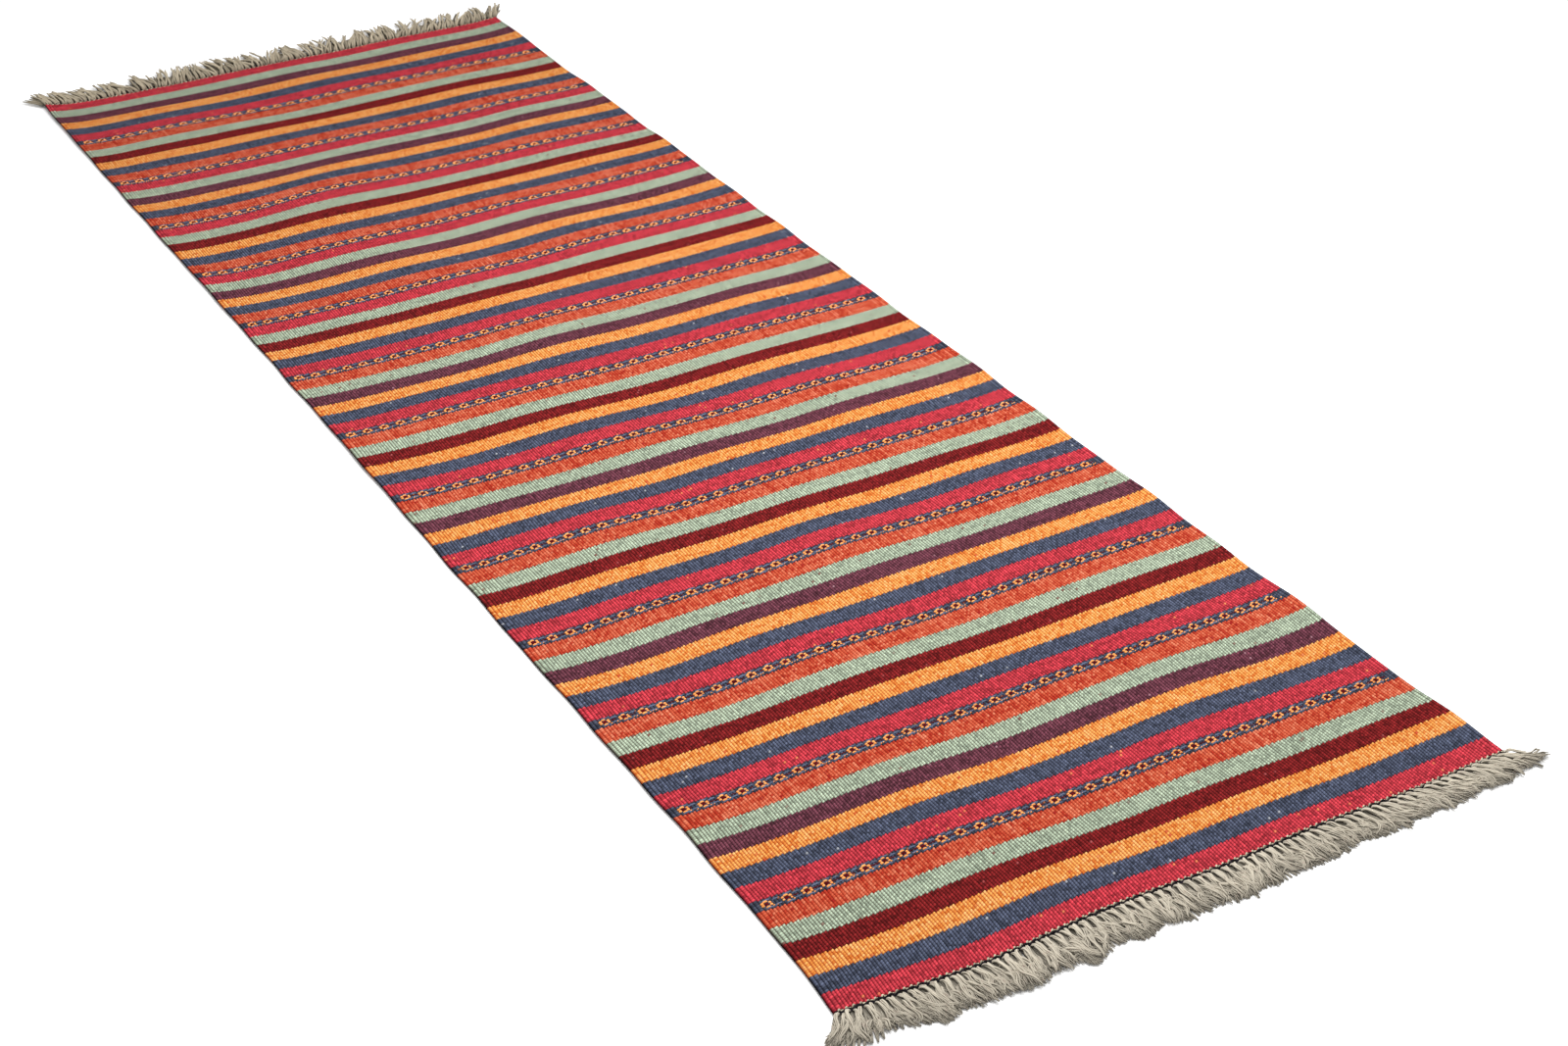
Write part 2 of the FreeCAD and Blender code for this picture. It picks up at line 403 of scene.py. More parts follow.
def top_lattice():
    """Points of the whole upper side, line by line, and the painted shade of each, by how deep it lies
    in a groove.
    """
    draw = np.random.default_rng(21)
    across = [RIB_EDGES[:-1], RIB_EDGES[:-1] + SHOULDER * RIB_WIDTHS,
              RIB_EDGES[:-1] + (1 - SHOULDER) * RIB_WIDTHS]
    x = np.r_[np.stack(across, 1).ravel(), RIB_EDGES[-1]]
    place = np.r_[np.tile([0, 1, 2], RIB_COUNT), 0]
    rib = np.minimum(np.arange(len(x)) // COLUMNS, RIB_COUNT - 1)
    line = np.arange(LINES)[:, None]
    stitch_end = ((line - rib) & 1) == 0
    inside = place > 0
    z = THICKNESS - GROOVE * (~inside) - STITCH_DIP * (inside & stitch_end)
    fat = draw.normal(0, 0.1, (LINES // 2 + 1, RIB_COUNT))
    z = z + inside * fat[line // 2, rib] + draw.normal(0, 0.05, z.shape)
    slant = np.where(place == 1, -STITCH_SLANT, 0) + np.where(place == 2, STITCH_SLANT, 0)
    y = LINE_Y[:, None] + slant + draw.normal(0, 0.09, z.shape)
    # Where two bands meet, every other stitch reaches into the next band
    for _, _, _, first, _ in BANDS[1:]:
        y[first] += TOOTH_CUT * (inside & ((rib - first) % 2 == 0))
        y[first + 1] -= TOOTH_CUT * (inside & ((rib - first) % 2 == 1))
    wander = np.cumsum(draw.normal(0, 0.015, (LINES, RIB_COUNT + 1)), 0)
    wander = wander - np.linspace(0, 1, LINES)[:, None] * wander[-1]
    xx = x + wander[:, np.arange(len(x)) // COLUMNS].clip(-RIB_WANDER, RIB_WANDER)
    xx = xx + draw.normal(0, 0.06, z.shape)
    # The wefts turn round the outer cord of each selvage
    for outer, next_in in ((0, 1), (-1, -2)):
        xx[:, outer] = x[outer]
        z[:, outer] = 0.5 * THICKNESS + draw.normal(0, 0.06, LINES)
        xx[:, next_in] = x[outer] + np.sign(x[next_in] - x[outer]) * TURN_SHARE * EDGE_RIB
        z[:, next_in] = 0.86 * THICKNESS + draw.normal(0, 0.06, LINES)
    # Painted shade: grooves between ribs and stitch ends painted darker, the outer cord's side black and
    # its turn dark
    groove = np.where(inside, np.where(stitch_end, SHADE_STITCH_END, 0.0), SHADE_BETWEEN_RIBS)
    groove[:, [0, -1]] = DEEPEST
    groove[:, [1, -2]] = SHADE_TURN
    return xx, y, z, groove


def underside_lattice():
    """Coarser: one face for each rib and half-stitch, with a checker of high and low points."""
    turn = LOW_TURN_SHARE * EDGE_RIB
    x = np.r_[RIB_EDGES[0], RIB_EDGES[0] + turn, RIB_EDGES[1:-1], RIB_EDGES[-1] - turn, RIB_EDGES[-1]]
    line = np.arange(LINES)[:, None]
    column = np.arange(len(x))
    z = 0.1 + 0.35 * ((line + column) & 1)
    z[:, [0, -1]] = 0.3 * THICKNESS
    z[:, [1, -2]] = 0.1 * THICKNESS
    y = np.broadcast_to(LINE_Y[:, None], z.shape)
    return np.broadcast_to(x, z.shape), y, z


TOP_X, TOP_Y, TOP_Z, TOP_PAINTED_SHADE = top_lattice()
LOW_X, LOW_Y, LOW_Z = underside_lattice()
TOP_AT = lay(TOP_X, TOP_Y, TOP_Z)
LOW_AT = lay(LOW_X, LOW_Y, LOW_Z)
LOW_COLUMNS = LOW_X.shape[1]
# Which rib each face column of the underside lies in, and the upper column over each of its lines
LOW_RIB = np.r_[0, 0, np.arange(1, RIB_COUNT - 1), RIB_COUNT - 1, RIB_COUNT - 1]
LOW_TO_TOP = np.r_[0, 1, np.arange(1, RIB_COUNT) * COLUMNS,
                   RIB_COUNT * COLUMNS - 1, RIB_COUNT * COLUMNS]


def smooth_rows(values, reach):
    """Values smoothed along each row over about that many ribs, with their spread kept."""
    kernel = np.hanning(2 * reach + 1)
    kernel /= np.sqrt((kernel ** 2).sum())
    return np.apply_along_axis(lambda row: np.convolve(row, kernel, "same"), 1, values)


def stitch_tones(draw, wefts, stitch, streak, rib):
    """A tone for each weft and rib: noise by stitch, streaks along a weft, and lighter ribs."""
    each = draw.normal(0, stitch, (wefts, RIB_COUNT))
    along = smooth_rows(draw.normal(0, streak, (wefts, RIB_COUNT)), STREAK_REACH)
    slow = smooth_rows(draw.normal(0, rib, (1, RIB_COUNT)), 1)
    yarn = draw.normal(0, streak * 0.5, (wefts, 1))
    return 0.5 + each + along + slow + yarn


STREAK_REACH = 7                # ribs
# Variation of each dye: by stitch, in streaks along the weft, by rib; and the share of specks
CHARACTER = {
    "crimson": (0.15, 0.05, 0.02, 0.006),
    "coral": (0.11, 0.06, 0.06, 0.015),
    "navy": (0.15, 0.05, 0.02, 0.004),
    "orange": (0.14, 0.05, 0.02, 0.01),
    "green": (0.14, 0.05, 0.02, 0.006),
    "maroon": (0.14, 0.05, 0.02, 0.004),
    "purple": (0.15, 0.05, 0.02, 0.006),
    "rosette": (0.16, 0.07, 0.03, 0.02),
}
BAKE_STRIPS = 4                 # each side of a band is unwrapped as this many strips
BAKE_MARGIN = (0.02, 0.04)      # round each strip, as a share of its length and width


def band_walls(mask, top_id, low_id):
    """Walls round the stepped edge of a band, which mask shows, and the rib of each one."""
    walls = []
    wall_ribs = []
    start_row = np.argmax(mask, 0)
    end_row = len(mask) - np.argmax(mask[::-1], 0)
    for k in range(LOW_COLUMNS - 1):
        rib = LOW_RIB[k]
        over = np.arange(LOW_TO_TOP[k], LOW_TO_TOP[k + 1] + 1)
        a, b = start_row[rib], end_row[rib]
        walls.append(np.r_[top_id[a, over[::-1]], low_id[a, k], low_id[a, k + 1]])
        walls.append(np.r_[top_id[b, over], low_id[b, k + 1], low_id[b, k]])
        wall_ribs += [rib, rib]
    padded = np.pad(mask, ((0, 0), (1, 1)))
    low_edge = np.r_[0, np.arange(2, LOW_COLUMNS - 2), LOW_COLUMNS - 1]
    for edge in range(RIB_COUNT + 1):
        step = padded[:, edge].astype(int) - padded[:, edge + 1]
        for row in np.nonzero(step)[0]:
            wall = [top_id[row, edge * COLUMNS], top_id[row + 1, edge * COLUMNS],
                    low_id[row + 1, low_edge[edge]], low_id[row, low_edge[edge]]]
            walls.append(np.array(wall if step[row] < 0 else wall[::-1]))
            wall_ribs.append(min(max(edge - (step[row] > 0), 0), RIB_COUNT - 1))
    return walls, wall_ribs


def band_uv(x, y, strip, below, first, wefts):
    """Where flat points of a band lie in its unwrapping: strips of the top, then of the underside."""
    strip_width = WIDTH / BAKE_STRIPS
    band_start = WOVEN_START + (first - 1) * WEFT_PITCH
    u = (x + HALF_WIDTH - strip * strip_width) / strip_width
    v = (y - band_start) / ((wefts + 2) * WEFT_PITCH)
    u_edge, v_edge = BAKE_MARGIN
    return np.stack([u_edge + (1 - 2 * u_edge) * u.clip(-u_edge, 1 + u_edge),
                     (strip + BAKE_STRIPS * below + v_edge + (1 - 2 * v_edge) * v) / (2 * BAKE_STRIPS)],
                    -1)


def weave_band(name, yarn, first, wefts, seed):
    """The closed mesh of one band: crowned stitches above, a coarser underside, stepped ends."""
    rows = np.arange(first, first + wefts + 1)
    owned = owner(rows[:, None], RIBS)
    mask = (owned >= first) & (owned < first + wefts)
    lines = slice(first, first + wefts + 2)
    top_count = (wefts + 2) * TOP_X.shape[1]
    top_id = np.arange(top_count).reshape(wefts + 2, -1)
    low_id = top_count + np.arange((wefts + 2) * LOW_COLUMNS).reshape(wefts + 2, -1)

    def cells(ids, keep, flip):
        corners = [ids[:-1, :-1], ids[:-1, 1:], ids[1:, 1:], ids[1:, :-1]]
        quads = np.stack(corners[::-1] if flip else corners, -1)
        return quads[keep]

    top_row, top_column = np.nonzero(np.repeat(mask, COLUMNS, 1))
    low_row, low_column = np.nonzero(mask[:, LOW_RIB])
    quads = np.r_[cells(top_id, (top_row, top_column), False),
                  cells(low_id, (low_row, low_column), True)]
    top_rib = top_column // COLUMNS
    low_rib = LOW_RIB[low_column]
    walls, wall_ribs = band_walls(mask, top_id, low_id)

    points = np.r_[TOP_AT[lines].reshape(-1, 3), LOW_AT[lines].reshape(-1, 3)]
    flat_x = np.r_[TOP_X[lines].ravel(), LOW_X[lines].ravel()]
    flat_y = np.r_[TOP_Y[lines].ravel(), LOW_Y[lines].ravel()]
    # Painted shade on the underside: dark all over, black at each selvage side and dark at its turn
    low_groove = np.full((wefts + 2, LOW_COLUMNS), SHADE_UNDERSIDE)
    low_groove[:, [0, -1]] = DEEPEST
    low_groove[:, [1, -2]] = SHADE_LOW_TURN
    groove = np.r_[TOP_PAINTED_SHADE[lines].ravel(), low_groove.ravel()]

    face_rib = np.r_[top_rib, low_rib, wall_ribs].astype(int)
    face_low = np.repeat([0, 1, 0], [len(top_rib), len(low_rib), len(walls)])
    sizes = np.r_[np.full(len(quads), 4), [len(w) for w in walls]].astype(int)
    corner = np.r_[quads.ravel(), np.concatenate(walls)]
    strip = np.repeat(face_rib * BAKE_STRIPS // RIB_COUNT, sizes)
    uv = band_uv(flat_x[corner], flat_y[corner], strip, np.repeat(face_low, sizes), first, wefts)

    used = np.zeros(len(points), bool)
    used[corner] = True
    renumber = np.cumsum(used) - 1
    draw = np.random.default_rng(seed)
    *spreads, specks = CHARACTER[yarn]
    tone = stitch_tones(draw, wefts, *spreads)
    speck = (draw.random(tone.shape) < specks) * draw.uniform(0.4, 1.0, tone.shape)
    face_weft = np.r_[owned[top_row, top_rib], owned[low_row, low_rib], [first] * len(walls)] - first
    return make_object(name, points[used], renumber[quads], [renumber[w] for w in walls], uv,
                       {"groove": groove[used]},
                       {"tone": tone[face_weft, face_rib], "speck": speck[face_weft, face_rib]})


# -------------------- strands
def side_and_up(path):
    """The sideways and upward directions at each point of many paths, (n, points, 3)."""
    tangent = np.gradient(path, axis=1)
    tangent /= np.linalg.norm(tangent, axis=2, keepdims=True) + 1e-12
    side = np.cross(tangent, [0.0, 0.0, 1.0])
    side /= np.linalg.norm(side, axis=2, keepdims=True) + 1e-9
    return side, np.cross(side, tangent)


def tubes(path, radius, sides, flatten=1.0, tone=0.5, groove=0.0):
    """Closed tubes round many paths, as join_tubes() needs them, all in the paths' units.

    tone is one number, or one per tube, or one per point of the rings; the painted shade is one number,
    or one per point of the paths. flatten is the height of a tube as a share of its width."""
    count, steps = path.shape[:2]
    radius = np.broadcast_to(radius, (count, steps))
    side, up = side_and_up(path)
    angle = 2 * math.pi * np.arange(sides)[:, None] / sides
    ring = np.cos(angle) * side[:, :, None] + flatten * np.sin(angle) * up[:, :, None]
    points = path[:, :, None] + ring * radius[:, :, None, None]
    ids = np.arange(count * steps * sides).reshape(count, steps, sides)
    after = np.roll(ids, -1, 2)
    quads = np.stack([ids[:, :-1], ids[:, 1:], after[:, 1:], after[:, :-1]], -1).reshape(-1, 4)
    caps = np.concatenate([ids[:, 0], ids[:, -1, ::-1]])
    step, turn = np.meshgrid(np.arange(steps - 1), np.arange(sides), indexing="ij")
    u = np.stack([step, step + 1, step + 1, step], -1) / (steps - 1)
    v = np.stack([turn, turn, turn + 1, turn + 1], -1) / sides
    uv = np.broadcast_to(np.stack([u, v], -1), (count, steps - 1, sides, 4, 2))
    cap_uv = np.stack([np.repeat([0.0, 1.0], sides), np.tile(np.arange(sides) / sides, 2)], -1)
    full = (count, steps, sides)
    tone = np.broadcast_to(tone[:, None, None] if np.ndim(tone) == 1 else tone, full)
    groove = np.broadcast_to(groove[..., None] if np.ndim(groove) else groove, full)
    return {"points": points.reshape(-1, 3), "quads": quads, "caps": caps,
            "uv": uv.reshape(count, -1, 4, 2), "cap_uv": cap_uv, "count": count,
            "tone": tone.ravel(), "groove": groove.ravel()}


def finish_piece(piece, material, node):
    piece.data.materials.append(material)
    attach(piece, "root")
    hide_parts(node)


def join_tubes(name, sets, material, node):
    """Several sets of tubes as one piece. Each tube is unwrapped into a square of its own."""
    margin = 0.1
    total = sum(s["count"] for s in sets)
    grid = math.ceil(math.sqrt(total))
    points, quads, caps, uvs, cap_uvs, tone, groove = [], [], [], [], [], [], []
    first_point = first_tube = 0
    for s in sets:
        cell = first_tube + np.arange(s["count"])
        corner = np.stack([cell % grid, cell // grid], -1)
        points.append(s["points"])
        quads.append(s["quads"] + first_point)
        caps += list(s["caps"] + first_point)
        inner = margin + (1 - 2 * margin) * s["uv"]
        uvs.append(((inner + corner[:, None, None]) / grid).reshape(-1, 2))
        inner = margin + (1 - 2 * margin) * s["cap_uv"]
        ends = inner.reshape(1, 2, -1, 2) + corner[:, None, None]
        cap_uvs.append((np.concatenate([ends[:, 0], ends[:, 1]]) / grid).reshape(-1, 2))
        tone.append(s["tone"])
        groove.append(s["groove"])
        first_point += len(s["points"])
        first_tube += s["count"]
    piece = make_object(name, np.concatenate(points), np.concatenate(quads), caps,
                        np.concatenate(uvs + cap_uvs),
                        {"tone": np.concatenate(tone), "groove": np.concatenate(groove)})
    finish_piece(piece, material, node)
    return piece


LEAST_HEIGHT = 0.05             # no strand comes nearer to the floor than this


def laid_tubes(path, radius, sides, **settings):
    """Tubes round flat-cloth paths, laid as the cloth lies. The radius is in millimetres."""
    laid = lay(path[..., 0], path[..., 1], path[..., 2]) / MM
    made = tubes(laid, radius, sides, **settings)
    made["points"] = made["points"] * MM
    made["points"][:, 2] = made["points"][:, 2].clip(LEAST_HEIGHT * MM)
    return made


def beads(x, y, shape, draw, tone):
    """Raised stitches on the cloth: short fat strands that dive into the weave at both ends.

    shape is a stitch's length, width, height over the cloth and slant."""
    length, width, height, slant = shape
    x, y = np.broadcast_arrays(np.asarray(x, float), y)
    count = x.size
    reach = np.linspace(-1, 1, 6)
    jitter = draw.normal(0, 0.12, (count, 2))
    cx = x.ravel()[:, None] + jitter[:, :1]
    cy = y.ravel()[:, None] + jitter[:, 1:]
    size = 1 + draw.normal(0, 0.07, (count, 1))
    z = THICKNESS + height - 1.15 * reach ** 2 - 0.3 * width
    path = np.stack([cx + reach * length / 2 * size, cy + reach * slant * length / 2 * size,
                     np.broadcast_to(z, (count, len(reach)))], -1)
    radius = width / 2 * np.sqrt(1.02 - (0.82 * reach) ** 2) * size
    return laid_tubes(path, radius, 6, flatten=0.62, tone=tone + draw.normal(0, 0.12, count))


# -------------------- bands
def make_bands():
    pieces = {}
    for number, (name, yarn, node, first, wefts) in enumerate(BANDS):
        piece = weave_band(name, yarn, first, wefts, 100 + number)
        finish_piece(piece, WEFTS[yarn], node)
        pieces[name] = piece
    return pieces


def rib_x(rib):
    """Middle of a ground rib, counted from 0 at the left."""
    return -GROUND_RIBS * RIB_PITCH / 2 + (rib + 0.5) * RIB_PITCH


# Stitches of a rosette: length, width, height over the cloth, slant
RING_ROW = (6.0, 2.6, 0.5, 0.12)
RING_SIDE = (3.3, 3.2, 0.55, 0.1)
TICK = (2.2, 1.5, 0.35, 0.3)
CENTRE_STITCH = (6.0, 5.6, 0.75, 0.1)
DASH = (4.0, 1.7, 0.35, 0.14)
NAVY_FLOAT = (11.0, 2.2, 0.5, 0.13)


def make_rosettes():
    """Rings with light ticks, centres with the dashes beside them, and navy floats, by band."""
    made = {}
    ground_end = HALF_WIDTH - 2 * EDGE_RIB
    rosettes = [b for b in BANDS if b[1] == "rosette"]
    for number, (name, _, _, first, wefts) in enumerate(rosettes, start=1):
        tag = "_%02d" % number
        draw = np.random.default_rng(500 + number)
        x = rib_x(FIRST_ROSETTE_RIB + np.arange(ROSETTE_COUNT) * RIBS_PER_ROSETTE)
        y = WOVEN_START + (first + wefts / 2) * WEFT_PITCH + draw.normal(0, 0.25, ROSETTE_COUNT)
        ring = [beads(x, y + dy, RING_ROW, draw, 0.6) for dy in (-4.1, 4.1)]
        ring += [beads(x + dx, y + dy, RING_SIDE, draw, 0.6) for dx in (-4.3, 4.3) for dy in (1.7, -1.7)]
        tick_x = x[:, None] + np.array([1.6, 2.6, 3.5]) * RIB_PITCH
        tick_y = y[:, None] - 2.75 * WEFT_PITCH + draw.normal(0, 0.4, (ROSETTE_COUNT, 3))
        shown = (draw.random(tick_x.shape) < 0.7) & (tick_x < ground_end)
        ring.append(beads(tick_x[shown], tick_y[shown], TICK, draw, 0.75))
        rings = join_tubes("rosette_rings" + tag, ring, RING, "rosette_rings")
        centre = [beads(x, y, CENTRE_STITCH, draw, 0.3)]
        for dx in (-2, 2, 3):
            dash_x = x + dx * RIB_PITCH
            keep = (np.abs(dash_x) < ground_end) & (draw.random(ROSETTE_COUNT) < 0.85)
            centre.append(beads(dash_x[keep], y[keep] + 0.2, DASH, draw, 0.4))
        centres = join_tubes("rosette_centres" + tag, centre, CENTRE, "rosette_centres")
        floats = []
        for dx, dy in ((3.1, 2.5), (0.6, 3.6), (2.9, -2.3), (0.4, -3.7)):
            float_x = x + dx * RIB_PITCH
            keep = float_x < ground_end - NAVY_FLOAT[0] / 2 - 0.5
            floats.append(beads(float_x[keep], y[keep] + dy * WEFT_PITCH, NAVY_FLOAT, draw, 0.55))
        made[name] = [rings, centres, join_tubes("navy_floats" + tag, floats, FLOAT, name)]
    return made


# -------------------- warps and selvage cords
def make_warps():
    """The hidden warps follow the cloth. They run from one twining to the other."""
    y = np.linspace(-HALF_WOVEN - TWINING_WIDTH, HALF_WOVEN + TWINING_WIDTH, 78)

    def rods(x, radius, name, sides):
        path = np.stack(np.broadcast_arrays(x[:, None], y, THICKNESS / 2 - 0.15), -1)
        join_tubes(name + "_laid", [laid_tubes(path, radius, sides)], WARP, name)

    rods(rib_x(np.arange(GROUND_RIBS)), 0.75, "warp_threads", 5)
    for side, sign in (("left", -1), ("right", 1)):
        x = sign * (HALF_WIDTH - EDGE_RIB * (np.arange(EDGE_RIBS) + 0.5))
        rods(x, 0.85, side + "_selvage_cords", 10)


# -------------------- twining
def helix_strand(y, pitch, phase, radius, reach, strand, lift):
    """One strand of a twining cord, across the whole rug.

    radius is how far the strand swings up and down, reach how far along the rug."""
    x = np.linspace(-HALF_WIDTH + 1.0, HALF_WIDTH - 1.0, int(WIDTH / pitch * 14))
    turn = 2 * math.pi * x / pitch + phase
    slow = 1 + 0.12 * np.sin(x / 37.0 + phase)
    sunk = 0.35 * np.sin(x / 6.1 + phase) * np.sin(x / 21.0)
    z = (THICKNESS - radius + lift + sunk + radius * np.cos(turn)).clip(strand + 0.2)
    path = np.stack([x, y + reach * np.sin(turn) * slow, z], -1)[None]
    uneven = 0.42 + 0.38 * np.sin(x / 5.3 + 2 * np.sin(x / 17.0)) * np.sin(x / 29.0 + phase)
    return laid_tubes(path, strand, 8, tone=uneven[None, :, None])


def make_twining():
    """The cream cord shows as a row of dots beside the black one. At the far end it is sunk in."""
    made = {}
    for place, end, cream_lift in (("near", -1, 0.8), ("far", 1, -0.4)):
        cream_y = end * (HALF_WOVEN + TWINING_WIDTH * 0.2)
        black_y = end * (HALF_WOVEN + TWINING_WIDTH * 1.1)
        cream = [helix_strand(cream_y, 2 * RIB_PITCH, 0.9, 2.3, 1.0, 0.9, cream_lift),
                 helix_strand(cream_y, 2 * RIB_PITCH, 4.0, 0.6, 0.3, 1.0, -1.6)]
        black = [helix_strand(black_y, 2 * BUNCH_PITCH, 0.0, 1.7, 1.6, 1.2, 0.9),
                 helix_strand(black_y, 2 * BUNCH_PITCH, math.pi, 1.7, 1.6, 1.2, 0.6)]
        made[place] = [
            join_tubes(place + "_%s_twining_laid" % colour, cord, material,
                       place + "_%s_twining" % colour)
            for colour, cord, material in (("cream", cream, CREAM), ("black", black, BLACK))]
    return made


# -------------------- fringe
lean_wave = ripple(31, 70)
tuft_wave = ripple(32, 45)
length_wave = ripple(33, 60)

NEAR_ROOT = HALF_WOVEN + 1.6 * TWINING_WIDTH
FAR_ROOT = HALF_WOVEN + 0.2 * TWINING_WIDTH
NEAR_REACH = 46.0               # how far the near fringe reaches from the twining
FAR_REACH = 60.0                # how far the far fringe reaches from the last band
UNDERSIDE_REACH = 40.0          # the same for its lowest strands
LENGTH_WAVE = 3.5               # how much longer and shorter the fringe is from place to place
CORNER_CUT = 12.0               # how much shorter the near fringe is at the left corner

# For each bunch
LEG_STRANDS = 8                 # in each of two legs
NEAR_LOCKS = 5
NEAR_LOCK_STRANDS = 9
NEAR_FIBRES = 12
FAR_LOCKS = 4
FAR_LOCK_STRANDS = 4
FAR_FIBRES = 2


def near_lean(x):
    """Degrees towards +X: the right third leans right, and the corners splay."""
    right = 42 * np.clip((x - 60) / 260, 0, 1) ** 1.2 + 20 * fade((HALF_WIDTH - x).clip(0), 22)
    left = -34 * fade((x + HALF_WIDTH).clip(0), 28)
    return right + left + 6 * lean_wave(x, 0)


def far_lean(x):
    right = 26 * np.clip((x + 60) / 300, 0, 1)
    left = -38 * fade((x + HALF_WIDTH).clip(0), 40)
    return right + left + 9 * lean_wave(x, 900) - 4


def strand_path(end, steps, draw, x, out, z, lean, bend, length, tip_z, hump, wobble,
                rise_length=3.0, flare=0.0):
    """Paths of many strands that leave the end of the rug, rise at once and fall to the floor.

    x is one number per strand, and from out to wobble one per strand or one for all. lean, bend,
    wobble and flare are in degrees."""
    count = len(x)
    phase = draw.uniform(0, 2 * math.pi, (count, 2))
    x, out, z, lean, bend, length, tip_z, hump, wobble = [
        np.broadcast_to(setting, count)[:, None]
        for setting in (x, out, z, lean, bend, length, tip_z, hump, wobble)]
    s = np.linspace(0, 1, steps)
    heading = np.radians(lean + bend * s + flare * np.exp(-s * 12)
                         + wobble * np.sin(2 * math.pi * 1.1 * s + phase[:, :1]))
    step = length / (steps - 1)
    x = x + np.cumsum(np.sin(heading) * step, 1) - np.sin(heading) * step
    out = out + np.cumsum(np.cos(heading) * step, 1) - np.cos(heading) * step
    rise = 1 - np.exp(-s * length / rise_length)
    z = z * (1 - s) + tip_z * s + hump * rise * (1 - s) ** 0.6
    z = z + 0.35 * np.sin(2 * math.pi * 1.7 * s + phase[:, 1:])
    return np.stack([x, end * out, z.clip(0.7)], -1)


def bundle(path, spread, per, twist, draw):
    """Fine strands held together round each path, and how deep each lies in its bundle, 0 to 1."""
    count, steps = path.shape[:2]
    s = np.linspace(0, 1, steps)
    side, up = side_and_up(path)
    angle = draw.uniform(0, 2 * math.pi, (count, per, 1)) + twist * s
    share = np.sqrt(draw.uniform(0.1, 1, (count, per, 1)))
    share = share * (1 + 0.35 * np.sin(2 * math.pi * (1.6 * s + draw.uniform(0, 1, (count, per, 1)))))
    reach = share * spread
    made = path[:, None] + (np.cos(angle) * reach)[..., None] * side[:, None]
    made = made + (0.6 * np.sin(angle) * reach)[..., None] * up[:, None]
    made[..., 2] = made[..., 2].clip(0.7)
    depth = (0.5 - 0.5 * np.sin(angle) * share).clip(0, 1)
    return made.reshape(count * per, steps, 3), depth.reshape(count * per, steps)


def shortened(path, share):
    """Each path cut off at its own share of its length."""
    steps = path.shape[1]
    at = share[:, None] * np.arange(steps)
    before = np.floor(at).astype(int).clip(0, steps - 2)
    part = (at - before)[..., None]
    row = np.arange(len(path))[:, None]
    return path[row, before] * (1 - part) + path[row, before + 1] * part


def bunch_centres():
    edge = HALF_WIDTH - EDGE_RIB
    return np.r_[-edge, rib_x(np.arange(0, GROUND_RIBS, RIBS_PER_BUNCH) + 1), edge]


def near_tuft(centres, per, spread, start, reach_spread, draw):
    """Roots of the locks or fibres of the near fringe, their lean and length, and height 0 to 1."""
    count = per * len(centres)
    x = np.repeat(centres, per) + draw.uniform(-spread, spread, count)
    begin = draw.uniform(*start, count)
    lean = near_lean(x)
    reach = NEAR_REACH + LENGTH_WAVE * length_wave(x, 0) + draw.normal(0, reach_spread, count)
    reach = reach - CORNER_CUT * fade((x + HALF_WIDTH).clip(0), 25)
    root_x = x + np.sin(np.radians(lean)) * begin
    out = NEAR_ROOT + begin * np.cos(np.radians(lean))
    lean = lean + 11 * tuft_wave(x, 0)
    return x, root_x, out, lean, (reach - begin).clip(7), draw.uniform(0, 1, count)


def underside_strands(centres, root, lean, reach, end, draw):
    """The strands that lie on the floor under the others, three to a bunch, in painted shade."""
    steps = 10
    s = np.linspace(0, 1, steps)
    x = (centres[:, None] + np.array([-3.7, 0, 3.7])).ravel() + draw.normal(0, 0.5, 3 * len(centres))
    n = len(x)
    length = reach + LENGTH_WAVE * length_wave(x, 0) + draw.normal(0, 1.5, n)
    path = strand_path(end, steps, draw, x, root - 1.5, 1.5, lean(x), 9 * tuft_wave(x, 0), length,
                       0.8, 0.3, draw.uniform(1, 5, n))
    path[..., 2] = path[..., 2].clip(1.3)
    # Painted shade: a low tone and a high painted shade, darkest at the root
    return laid_tubes(path, 2.3 * (1 - 0.6 * s ** 5), 6, flatten=0.5,
                      tone=0.42 + draw.normal(0, 0.05, n), groove=np.exp(-s * 5) + 0.35 + 0.4 * s ** 5)


def near_leg(centres, leg, draw):
    """One leg of each bunch, which springs from under the black twining in a rounded arch."""
    steps = 18
    s = np.linspace(0, 1, steps)
    n = len(centres)
    root = centres + leg * draw.uniform(0.9, 1.3, n)
    path = strand_path(-1, steps, draw, root, NEAR_ROOT + 0.2, 2.0,
                       near_lean(centres) + leg * draw.uniform(2, 8, n), -leg * draw.uniform(4, 24, n),
                       draw.uniform(24, 36, n), draw.uniform(1.8, 3.0, n), draw.uniform(3.4, 5.0, n),
                       draw.uniform(4, 12, n), rise_length=3.5, flare=leg * 58)
    spread = 1.5 * (0.55 + 0.45 * np.clip(s * 7, 0, 1)) + 0.7 * s
    path, depth = bundle(path, spread, LEG_STRANDS, 2.2, draw)
    radius = draw.uniform(0.6, 0.85, (len(path), 1)) * (1 - 0.4 * s ** 3)
    # Painted shade: darker at the root under the twining, inside each leg and towards the tip
    return laid_tubes(path, radius, 5, tone=0.82 + draw.normal(0, 0.09, len(path)),
                      groove=0.7 * np.exp(-s * 16) + 0.6 * depth + 0.35 * s)


